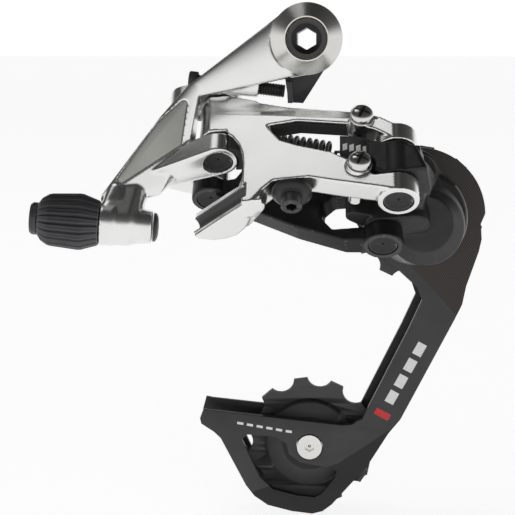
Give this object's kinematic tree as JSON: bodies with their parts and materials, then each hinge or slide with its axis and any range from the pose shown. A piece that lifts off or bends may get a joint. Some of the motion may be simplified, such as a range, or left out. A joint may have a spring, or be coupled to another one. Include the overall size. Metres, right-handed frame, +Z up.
{
  "type": "rear derailleur",
  "caption": "Rear bicycle derailleur: slanted parallelogram between two knuckles, sprung cage with two toothed pulleys, barrel adjuster, cable clamp and limit screws.",
  "frame": {"origin": "on the hanger bolt's axis, at the outboard face of the frame's hanger, where the stop plate seats", "axes": "+X towards the front of the bicycle, +Y inboard towards the wheel along the hanger bolt, +Z up"},
  "size_m": [0.1351, 0.0646, 0.1616],
  "materials": {
    "forged_aluminium": "satin polished, clear",
    "plated_steel": "bright nickel plated",
    "black_anodised": "black anodised aluminium, semi-gloss",
    "black_steel": "black oxide steel",
    "adjuster_polymer": "moulded dark grey polymer, fine texture",
    "pulley_polymer": "moulded black polymer",
    "carbon_plate": "moulded carbon fibre plate, satin lacquer",
    "seal_rubber": "matt black rubber",
    "bush_bronze": "sintered bronze"
  },
  "bodies": {
    "hanger": {"hanger_bolt": "black_steel", "bolt_head_ring": "forged_aluminium", "hanger_bolt_bush": "bush_bronze", "stop_plate": "black_anodised"},
    "b_knuckle": {"b_knuckle": "forged_aluminium", "pivot_pin_a": "black_steel", "pivot_bush_d": "bush_bronze", "adjuster_sleeve": "plated_steel", "cable_end_cap": "black_anodised"},
    "barrel_adjuster": {"barrel_adjuster": "adjuster_polymer", "adjuster_end_ring": "black_steel"},
    "b_screw": {"b_screw": "black_steel"},
    "outer_link": {"outer_link": "forged_aluminium", "pivot_bush_a": "bush_bronze", "pivot_pin_b": "black_steel", "cable_clamp_washer": "black_anodised", "return_spring": "black_steel"},
    "cable_anchor_bolt": {"cable_anchor_bolt": "black_steel"},
    "high_limit_screw": {"high_limit_screw": "plated_steel"},
    "low_limit_screw": {"low_limit_screw": "plated_steel"},
    "inner_link": {"inner_link": "black_anodised", "pivot_pin_c": "black_steel", "pivot_pin_d": "black_steel"},
    "p_knuckle": {"p_knuckle": "black_anodised", "p_knuckle_cover": "black_anodised", "pivot_bush_b": "bush_bronze", "pivot_bush_c": "bush_bronze", "cage_pivot_bush": "bush_bronze", "cage_pivot_seal": "seal_rubber", "cage_torsion_spring": "plated_steel"},
    "cage": {"cage_outer_plate": "carbon_plate", "cage_inner_plate": "black_anodised", "cage_axle": "plated_steel", "cage_stop_pin": "plated_steel", "upper_pulley_bolt": "plated_steel", "lower_pulley_bolt": "plated_steel", "upper_bearing_sleeve": "plated_steel", "lower_bearing_sleeve": "plated_steel", "upper_outer_cover": "black_anodised", "upper_inner_cover": "black_anodised", "lower_outer_cover": "black_anodised", "lower_inner_cover": "black_anodised"},
    "upper_pulley": {"upper_pulley": "pulley_polymer", "upper_outer_race": "plated_steel", "upper_ball_cage": "bush_bronze"},
    "lower_pulley": {"lower_pulley": "pulley_polymer", "lower_outer_race": "plated_steel", "lower_ball_cage": "bush_bronze"}
  },
  "joints": [
    {"name": "hanger_pivot", "type": "hinge", "parent": "hanger", "child": "b_knuckle", "pos_m": [0, 0, 0], "axis": [0, 1, 0], "range_deg": [0, 30], "stiffness_Nm_per_rad": 2, "springref_deg": -20.05},
    {"name": "parallelogram", "type": "hinge", "parent": "b_knuckle", "child": "outer_link", "pos_m": [-0.0255, 0.00792, -0.00792], "axis": [0, 0.7071, 0.7071], "range_deg": [0, 55], "stiffness_Nm_per_rad": 0.6, "springref_deg": -28.65, "deforming": ["return_spring"]},
    {"name": "p_knuckle_pivot", "type": "hinge", "parent": "outer_link", "child": "p_knuckle", "pos_m": [0.0258, 0.00127, -0.00127], "axis": [0, 0.7071, 0.7071], "range_deg": [-55, 0]},
    {"name": "inner_link_pivot", "type": "hinge", "parent": "b_knuckle", "child": "inner_link", "pos_m": [-0.0289, 0.0215, -0.0215], "axis": [0, 0.7071, 0.7071], "range_deg": [0, 55]},
    {"name": "cage_pivot", "type": "hinge", "parent": "p_knuckle", "child": "cage", "pos_m": [0.0343, 0, -0.0538], "axis": [0, -1, 0], "range_deg": [0, 90], "stiffness_Nm_per_rad": 0.3, "springref_deg": -34.38},
    {"name": "upper_pulley_spin", "type": "hinge", "parent": "cage", "child": "upper_pulley", "pos_m": [0.0343, 0.01, -0.0538], "axis": [0, 1, 0], "continuous": true},
    {"name": "lower_pulley_spin", "type": "hinge", "parent": "cage", "child": "lower_pulley", "pos_m": [0.0015, 0.01, -0.1286], "axis": [0, 1, 0], "continuous": true},
    {"name": "barrel_adjuster_turn", "type": "hinge", "parent": "b_knuckle", "child": "barrel_adjuster", "pos_m": [-0.0793, -0.02793, -0.05126], "axis": [0.9936, 0.0796, -0.0796], "continuous": true},
    {"name": "b_screw_turn", "type": "hinge", "parent": "b_knuckle", "child": "b_screw", "pos_m": [-0.0348, -0.01, -0.0119], "axis": [0.993, 0, -0.118], "continuous": true},
    {"name": "high_limit_screw_turn", "type": "hinge", "parent": "outer_link", "child": "high_limit_screw", "pos_m": [0.01518, -0.03837, -0.03389], "axis": [-0.0613, 0.7058, -0.7058], "continuous": true},
    {"name": "low_limit_screw_turn", "type": "hinge", "parent": "outer_link", "child": "low_limit_screw", "pos_m": [0.01587, -0.02644, -0.02178], "axis": [-0.0613, 0.7058, -0.7058], "continuous": true},
    {"name": "cable_anchor_bolt_turn", "type": "hinge", "parent": "outer_link", "child": "cable_anchor_bolt", "pos_m": [-0.00363, -0.03666, -0.04395], "axis": [0, 0.7071, 0.7071], "continuous": true}
  ],
  "couplings": [
    {"joint": "p_knuckle_pivot", "follows": "parallelogram", "ratio": -1},
    {"joint": "inner_link_pivot", "follows": "parallelogram", "ratio": 1}
  ]
}
